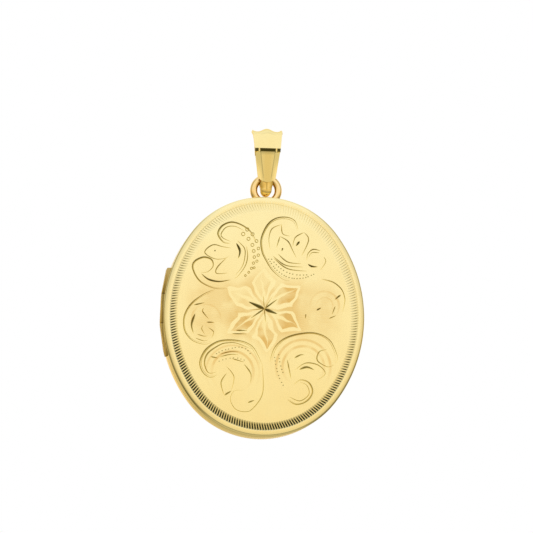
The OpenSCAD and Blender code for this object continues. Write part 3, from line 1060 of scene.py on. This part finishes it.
def knucklePiece(name, index, body, node, bore):
    top = hinge["joints"][index] - (hinge["gap"] / 2 if index > 0 else 0)
    bottom = hinge["joints"][index + 1] + (hinge["gap"] / 2 if index < 2 else 0)
    knuckle = makeObject(name, bar(hinge["radius"], bottom, top, (hinge["axisX"], 0), 72))
    outline = [(-out, height) for height, out in hinge["facets"]] + [(0, -6.1), (0, 7.05)]
    filed = makeTool("filing", prism([Vector((x, -2, z)) for x, z in outline], (0, 4, 0)))
    shapeWith(knuckle, "INTERSECT", filed)
    softenEdges(knuckle, 0.07)
    hole = makeTool("pinHole", bar(bore, bottom - 1, top + 1, (hinge["axisX"], 0), 24))
    shapeWith(knuckle, "DIFFERENCE", hole)
    return finishPiece(knuckle, body, [node], shadedHingeGold)


def hingePinPiece():
    pin = makeObject("hingePin", bar(hinge["pinRadius"], *hinge["pinEnds"], (hinge["axisX"], 0), 24))
    softenEdges(pin, 0.05)
    return finishPiece(pin, "case_back", ["hinge_pin"], shadedHingeGold, caseMiddle, 40)


knucklePiece("hingeKnuckleTop", 0, "case_back", "hinge_knuckle_top", hinge["pinRadius"])
knucklePiece("hingeKnuckleMiddle", 1, "cover", "hinge_knuckle_middle", hinge["pinRadius"] + hinge["pinPlay"])
knucklePiece("hingeKnuckleBottom", 2, "case_back", "hinge_knuckle_bottom", hinge["pinRadius"])
hingePinPiece()
print("hinge ready")


bail = {
    "crownMiddle": 0.7,
    "crownRadius": 1.45,
    "ridge": (2.0, -1.23),      # depth and height
    "tip": (1.45, -6.15),
    "shoulder": -5.25,
    "crownHalf": 2.28,
    "ridgeHalf": 1.92,
    "leafHalf": 1.33,
    "facetTop": 1.1,
    "facetBottom": 0.5,
    "facetSlope": 0.34,
    "wave": 0.5,
    "grooveDeep": 0.17,
    "backNarrower": 0.2,    # share of the width that the back half loses
    "breakStart": 1.15,     # the ridge groove is nearly closed between these two
    "breakEnd": 1.45,
    "sheet": 0.4,
    "columns": 32,
}
bailLook = {
    **polishedLook,
    "leaf": (0.90, 0.70, 0.27, 1),
    # painted shade for the ridge groove and the leaf's creases
    "paintedShade": (0.10, 0.09, 0.02, 1),
    "grooveShade": 0.93,
    "creaseShade": 0.4,
    "leafShare": 0.7,
}
# the ring and the eye are a redder gold
linkLook = {
    **polishedLook,
    "pale": (0.96, 0.74, 0.38, 1),
    "deep": (0.93, 0.67, 0.28, 1),
    "edgeTint": (1.0, 0.80, 0.42, 1),
    "roughness": 0.12,
    "wornRoughness": 0.06,
}
eyeLook = {
    **linkLook,
    "pale": (0.90, 0.66, 0.22, 1),
    "deep": (0.80, 0.53, 0.14, 1),
    # painted shade for the eye's sides and fold
    "paintedShade": (0.30, 0.20, 0.03, 1),
    "edgeTint": (0.95, 0.72, 0.30, 1),
    "swellHeight": 0.02,
}
eye = {
    "width": 2.0,
    "top": -3.6,
    "bottom": -8.13,
    "slotHalf": 0.66,
    "crease": 0.62,     # depth of the sides as a share of the middle
    "saddleRadius": 1.18,
    "saddleReach": 2,
}


def bailFinish():
    # painted shade: the strap's gold is darkened in the ridge groove and along the creases of the leaf
    look = bailLook
    material, tree, shader, place, tone = goldFinish("bailGold", look)
    x, y, z = axesOf(tree, place)
    across = mathNode(tree, "ABSOLUTE", mathNode(tree, "DIVIDE", x, mm))
    height = mathNode(tree, "DIVIDE", z, mm)
    ridge = bail["ridge"][1]
    tip = bail["tip"][1]
    groove = window(tree, height, ridge - 0.39, ridge - 0.31, ridge + 0.07, ridge + 0.15)
    shut = bail["breakStart"], bail["breakEnd"]
    closed = window(tree, across, shut[0], shut[0] + 0.07, shut[1] - 0.07, shut[1])
    groove = minus(tree, groove, times(tree, groove, closed))
    facet = mapRange(tree, height, tip, ridge - 0.27, bail["facetBottom"], bail["facetTop"])
    fromCrease = mathNode(tree, "ABSOLUTE", minus(tree, across, facet))
    crease = times(tree, mapRange(tree, fromCrease, 0.09, 0.02),
                   window(tree, height, tip + 0.25, tip + 0.95, ridge - 0.47, ridge - 0.17))
    paintedShade = mathNode(tree, "MAXIMUM", times(tree, groove, look["grooveShade"]),
                    times(tree, crease, look["creaseShade"]))
    paintedShade = times(tree, paintedShade, mapRange(tree, y, 0.1 * mm, -0.1 * mm))
    panel = times(tree, mapRange(tree, fromCrease, 0.0, 0.1), mapRange(tree, across, 1.0, 0.3))
    leaf = times(tree, panel, mapRange(tree, height, ridge - 0.27, ridge - 0.57, 0.0, look["leafShare"]))
    colour = mixColour(tree, leaf, tone.outputs["Colour"], look["leaf"])
    tree.links.new(mixColour(tree, paintedShade, colour, look["paintedShade"]), shader.inputs["Base Color"])
    return material


def eyeFinish():
    # painted shade: the eye is darkened towards its sides and along the fold down its middle
    material, tree, shader, place, tone = goldFinish("eyeGold", eyeLook)
    x, y, z = axesOf(tree, place)
    across = mathNode(tree, "ABSOLUTE", mathNode(tree, "DIVIDE", x, mm))
    height = mathNode(tree, "DIVIDE", z, mm)
    sides = mapRange(tree, across, 0.35, 0.85, 0.0, 0.75)
    fold = times(tree, mapRange(tree, across, 0.13, 0.03, 0.0, 0.6), mapRange(tree, height, -7.35, -7.1))
    paintedShade = mathNode(tree, "MAXIMUM", sides, fold)
    colour = mixColour(tree, paintedShade, tone.outputs["Colour"], eyeLook["paintedShade"])
    tree.links.new(colour, shader.inputs["Base Color"])
    return material


linkGold = goldFinish("linkGold", linkLook)[0]
eyeGold = eyeFinish()
bailGold = bailFinish()


def jumpRingPiece():
    wire = wireRing(jumpRing["middle"], jumpRing["radius"], jumpRing["wire"], jumpRing["steps"],
                    jumpRing["around"])
    ring = makeObject("jumpRing", wire)
    return finishPiece(ring, "ring", ["jump_ring"], linkGold, Vector((0, 0, 0)), 60)


def bailStations():
    # side line of the bail from the front tip over the crown to the back tip: depth, height,
    # outward direction, half width, share of the crown's wave, share of the leaf's facets, inset
    ridgeY, ridgeZ = bail["ridge"]
    tipY, tipZ = bail["tip"]
    crownZ = bail["crownMiddle"]
    radius = bail["crownRadius"]
    reach = math.hypot(ridgeY, ridgeZ - crownZ)
    start = math.atan2(ridgeZ - crownZ, ridgeY) + math.acos(radius / reach)
    half = []

    def crownWidth(z):
        rise = (z - ridgeZ) / (crownZ + radius - ridgeZ)
        return bail["ridgeHalf"] + (bail["crownHalf"] - bail["ridgeHalf"]) * rise

    leafLength = ridgeZ - tipZ
    leafOut = Vector((0, leafLength, -(ridgeY - tipY))).normalized()
    leafSteps = [0, 0.02, 0.05, 0.09, 0.13, 0.183, 0.3, 0.5, 0.7, 0.82, 0.90]
    for share in leafSteps:
        z = tipZ + leafLength * share
        y = tipY + (ridgeY - tipY) * share
        if z < bail["shoulder"]:
            fall = (bail["shoulder"] - z) / (bail["shoulder"] - tipZ)
            width = bail["leafHalf"] * math.sqrt(max(0.02, 1 - fall * fall))
        else:
            rise = (z - bail["shoulder"]) / (ridgeZ - bail["shoulder"])
            width = bail["leafHalf"] + (bail["ridgeHalf"] - bail["leafHalf"]) * rise
        half.append((y, z, leafOut, width, 0, min(1, 0.05 + 1.9 * share), 0))
    panel = Vector((0, math.cos(start), math.sin(start)))
    # the groove lies just below the ridge
    half.append((ridgeY - 0.02, ridgeZ - 0.36, leafOut, bail["ridgeHalf"], 0, 0.3, 0))
    half.append((ridgeY, ridgeZ - 0.34, leafOut, bail["ridgeHalf"], 0, 0.3, bail["grooveDeep"]))
    half.append((ridgeY, ridgeZ + 0.14, panel, bail["ridgeHalf"], 0, 0, 0))
    tangentY = radius * math.cos(start)
    tangentZ = crownZ + radius * math.sin(start)
    for share in (0.22, 0.45, 0.7, 1.0):
        y = ridgeY + (tangentY - ridgeY) * share
        z = ridgeZ + (tangentZ - ridgeZ) * share
        half.append((y, z, panel, crownWidth(z), 0, 0, 0))
    for i in range(1, 11):
        turn = start + (math.pi / 2 - start) * i / 10
        y = radius * math.cos(turn)
        z = crownZ + radius * math.sin(turn)
        out = Vector((0, math.cos(turn), math.sin(turn)))
        half.append((y, z, out, crownWidth(z), max(0, math.sin(turn)) ** 2, 0, 0))
    front = [(-y, z, Vector((0, -out.y, out.z)), *rest) for y, z, out, *rest in half]
    return front + list(reversed(half[:-1]))


def bailPoint(station, u):
    # u runs from -1 to 1, and the leaf's middle facet takes the half from -0.5 to 0.5
    y, z, out, half, waveShare, facetShare, inset = station
    leafShare = min(1, max(0, (z - bail["tip"][1]) / (bail["ridge"][1] - bail["tip"][1])))
    facet = bail["facetBottom"] + (bail["facetTop"] - bail["facetBottom"]) * leafShare
    facet = min(facet, 0.6 * half)
    size = abs(u) * 2 * facet if abs(u) < 0.5 else facet + (abs(u) - 0.5) * 2 * (half - facet)
    toBack = min(1, max(0, (y + 1) / 2.5))
    x = math.copysign(size, u) * (1 - bail["backNarrower"] * toBack)
    push = -inset * (1.0 if size < bail["breakStart"] or size > bail["breakEnd"] else 0.15)
    push -= waveShare * bail["wave"] * math.sin(math.radians(136 * size / half)) ** 2
    push -= facetShare * bail["facetSlope"] * max(0, size - facet)
    return Vector((x, y, z)) + out * push


def bailStrapPiece():
    stations = bailStations()
    bm = bmesh.new()
    columns = bail["columns"]
    places = [2 * i / columns - 1 for i in range(columns + 1)]
    verts, row = drawLine(bm, [bailPoint(stations[0], u) for u in places], closed=False)
    for station in stations[1:]:
        row, verts = pullRow(bm, row)
        for vert, u in zip(sorted(verts, key=lambda v: v.co.x), places):
            vert.co = bailPoint(station, u)
    bmesh.ops.recalc_face_normals(bm, faces=bm.faces[:])
    middle = max(bm.faces, key=lambda f: f.calc_center_median().z)
    if middle.normal.z < 0:
        bmesh.ops.reverse_faces(bm, faces=bm.faces[:])
    strap = makeObject("bailStrap", bm, outward=False)
    modifier = strap.modifiers.new("sheet", "SOLIDIFY")
    modifier.thickness = bail["sheet"] - 0.03
    modifier.offset = -1
    modifier.use_even_offset = False
    bakeModifiers(strap)
    softenEdges(strap, 0.05, 50)
    return finishPiece(strap, "bail", ["bail_strap"], bailGold, Vector((0, 0, 0)), 12)


def bailEyePiece():
    tipZ = bail["tip"][1]
    tipY = bail["tip"][0] - bail["sheet"]
    slope = (bail["ridge"][0] - bail["tip"][0]) / (bail["ridge"][1] - tipZ)
    legY = tipY + slope * (eye["top"] - tipZ)
    low = eye["bottom"]
    side = [(legY, eye["top"]), (tipY, tipZ), (0.96, -7.0), (1.0, -7.4), (0.8, low + 0.25), (0.35, low)]
    side += [(-y, z) for y, z in reversed(side)]
    bm = bmesh.new()
    verts, row = drawLine(bm, [(-1.5, y * eye["crease"], z) for y, z in side])
    for swell in (1 / eye["crease"], eye["crease"]):
        row, verts = pullRow(bm, row)
        bmesh.ops.translate(bm, vec=(1.5, 0, 0), verts=verts)
        bmesh.ops.scale(bm, vec=(1, swell, 1), verts=verts)
    closeHoles(bm)
    tongue = makeObject("bailEye", bm)
    half = eye["width"] / 2
    front = [(half, eye["top"]), (half, tipZ), (0.80, -6.9), (0.78, -7.3), (0.68, -7.65)]
    front += [(0.4, low + 0.08), (0.2, low)]
    front += [(-x, z) for x, z in reversed(front)]
    trim = makeTool("eyeTrim", prism([Vector((x, -2.5, z)) for x, z in front], (0, 5, 0)))
    shapeWith(tongue, "INTERSECT", trim)
    slotHalf = eye["slotHalf"]
    swing = jumpRing["middle"].z + jumpRing["radius"]
    slot = makeTool("eyeSlot", block((-2, -slotHalf, swing), (2, slotHalf, swing + 4)))
    # the saddle gives the ring room to swing
    saddle = bmesh.new()
    reach = eye["saddleReach"]
    turns = [math.radians(a) for a in range(-60, 61, 12)]
    wide = eye["saddleRadius"]
    arc = [(0, -reach), (slotHalf + 0.5, -reach)]
    arc += [(jumpRing["radius"] - wide * math.cos(a), wide * math.sin(a)) for a in turns]
    arc += [(slotHalf + 0.5, reach), (0, reach)]
    points, edges = drawLine(saddle, [(x, r, 0) for r, x in arc], closed=False)
    turnRound(saddle, points + edges, (0, 0, 0), (1, 0, 0), 48)
    bmesh.ops.remove_doubles(saddle, verts=saddle.verts[:], dist=0.001)
    bmesh.ops.translate(saddle, vec=(0, 0, swing), verts=saddle.verts[:])
    shapeWith(tongue, "DIFFERENCE", slot, makeTool("eyeSaddle", saddle))
    softenEdges(tongue, 0.04)
    return finishPiece(tongue, "bail", ["bail_eye"], eyeGold, Vector((0, 0, 0)), 30)


jumpRingPiece()
bailStrapPiece()
bailEyePiece()
print("bail and ring ready")


studio = {
    "floorDrop": 0.16,
    "floorSize": 3.0,
    "viewWidth": 79.2,
    "distance": 550.0,
    "azimuth": -7.0,
    "elevation": -7.5,
    "roll": 0.7,
    "aimAcross": 0.53,
    "aimUp": 7.68,
    "lampEnergy": 4.5,
}


def makeFloor():
    bm = bmesh.new()
    bmesh.ops.create_grid(bm, x_segments=8, y_segments=8, size=studio["floorSize"] / 2,
                          matrix=Matrix.Translation((0, 0, -studio["floorDrop"])))
    floor = makeObject("studioFloor", bm)
    material, tree, shader, place = startMaterial("floorPaper")
    grain = noiseNode(tree, place, 90.0, 4.0)
    paper = mixColour(tree, grain, (0.80, 0.80, 0.79, 1), (0.84, 0.84, 0.83, 1))
    tree.links.new(paper, shader.inputs["Base Color"])
    shader.inputs["Roughness"].default_value = 0.8
    floor.data.materials.append(material)
    floor.visible_glossy = False


def lightRoom():
    # a light tent: bright high up and in front, dimmer and warmer round the middle and low down,
    # and white where the camera looks past the piece
    world = bpy.data.worlds.new("lightTent")
    bpy.context.scene.world = world
    world.use_nodes = True
    tree = world.node_tree
    tree.nodes.clear()
    x, y, z = axesOf(tree, tree.nodes.new("ShaderNodeTexCoord").outputs["Object"])

    def ramp(value, stops):
        node = tree.nodes.new("ShaderNodeValToRGB")
        tree.links.new(mapRange(tree, value, -1, 1), node.inputs["Fac"])
        band = node.color_ramp
        band.elements[0].position, colour = stops[0]
        band.elements[0].color = (*colour, 1)
        band.elements[1].position, colour = stops[-1]
        band.elements[1].color = (*colour, 1)
        for position, colour in stops[1:-1]:
            band.elements.new(position).color = (*colour, 1)
        return node.outputs["Color"]

    heights = ramp(z, [(0.0, (0.62, 0.57, 0.44)), (0.15, (0.56, 0.51, 0.38)), (0.18, (0.34, 0.31, 0.19)),
                       (0.26, (0.34, 0.31, 0.19)), (0.30, (0.50, 0.46, 0.34)), (0.39, (0.58, 0.53, 0.40)),
                       (0.45, (0.76, 0.69, 0.50)), (0.50, (1.0, 0.86, 0.60)), (0.56, (1.05, 0.97, 0.85)),
                       (0.62, (1.05, 1.03, 1.03)), (1.0, (1.05, 1.05, 1.05))])
    depths = ramp(y, [(0.0, (1, 1, 1)), (0.18, (1, 1, 1)), (0.30, (0.80, 0.78, 0.70)),
                      (0.41, (0.55, 0.52, 0.42)), (0.47, (0.36, 0.33, 0.20)), (0.52, (0.36, 0.33, 0.20)),
                      (0.58, (0.60, 0.58, 0.50)), (0.75, (0.90, 0.90, 0.88)), (1.0, (0.97, 0.97, 0.97))])
    overhead = ramp(z, [(0.0, (0.60, 0.54, 0.38)), (0.10, (0.60, 0.54, 0.38)), (0.17, (0, 0, 0)),
                        (0.80, (0, 0, 0)), (0.93, (0.9, 0.9, 0.9)), (1.0, (1, 1, 1))])
    tent = vectorMath(tree, "MAXIMUM", vectorMath(tree, "MULTIPLY", heights, depths), overhead)
    lit = tree.nodes.new("ShaderNodeBackground")
    tree.links.new(tent, lit.inputs["Color"])
    plain = tree.nodes.new("ShaderNodeBackground")
    plain.inputs["Color"].default_value = (1, 1, 1, 1)
    seen = tree.nodes.new("ShaderNodeLightPath").outputs["Is Camera Ray"]
    chosen = tree.nodes.new("ShaderNodeMixShader")
    tree.links.new(seen, chosen.inputs["Fac"])
    tree.links.new(lit.outputs["Background"], chosen.inputs[1])
    tree.links.new(plain.outputs["Background"], chosen.inputs[2])
    output = tree.nodes.new("ShaderNodeOutputWorld")
    tree.links.new(chosen.outputs["Shader"], output.inputs["Surface"])


def softBox(name, place, target, size):
    data = bpy.data.lights.new(name, "AREA")
    data.shape = "RECTANGLE"
    data.size, data.size_y = size
    data.energy = studio["lampEnergy"]
    obj = bpy.data.objects.new(name, data)
    obj.location = place
    obj.rotation_euler = (Vector(target) - Vector(place)).to_track_quat("-Z", "Y").to_euler()
    obj.visible_glossy = False  # the gold mirrors the tent, not the lamps
    bpy.context.scene.collection.objects.link(obj)


def makeCamera():
    data = bpy.data.cameras.new("studioCamera")
    data.sensor_width = 36
    data.lens = data.sensor_width * studio["distance"] / studio["viewWidth"]
    data.clip_start = 0.01
    data.clip_end = 50
    camera = bpy.data.objects.new("studioCamera", data)
    bpy.context.scene.collection.objects.link(camera)
    az = math.radians(studio["azimuth"])
    el = math.radians(studio["elevation"])
    back = Vector((math.sin(az) * math.cos(el), -math.cos(az) * math.cos(el), math.sin(el)))
    across = Vector((math.cos(az), math.sin(az), 0))
    up = back.cross(across)
    aim = caseMiddle + across * studio["aimAcross"] + up * studio["aimUp"]
    turn = Matrix((across, up, back)).transposed() @ Matrix.Rotation(math.radians(studio["roll"]), 3, "Z")
    camera.matrix_world = Matrix.Translation((aim + back * studio["distance"]) * mm) @ turn.to_4x4()
    bpy.context.scene.camera = camera


makeFloor()
lightRoom()
softBox("keyLight", (-0.25, -0.6, 0.45), (0, 0, -0.02), (0.5, 0.5))
softBox("topLight", (0.1, 0.1, 0.7), (0, 0, -0.02), (0.6, 0.6))
makeCamera()
bpy.context.scene.view_settings.view_transform = "Standard"
print("studio ready")

for tool in benchTools:
    bpy.data.objects.remove(tool)
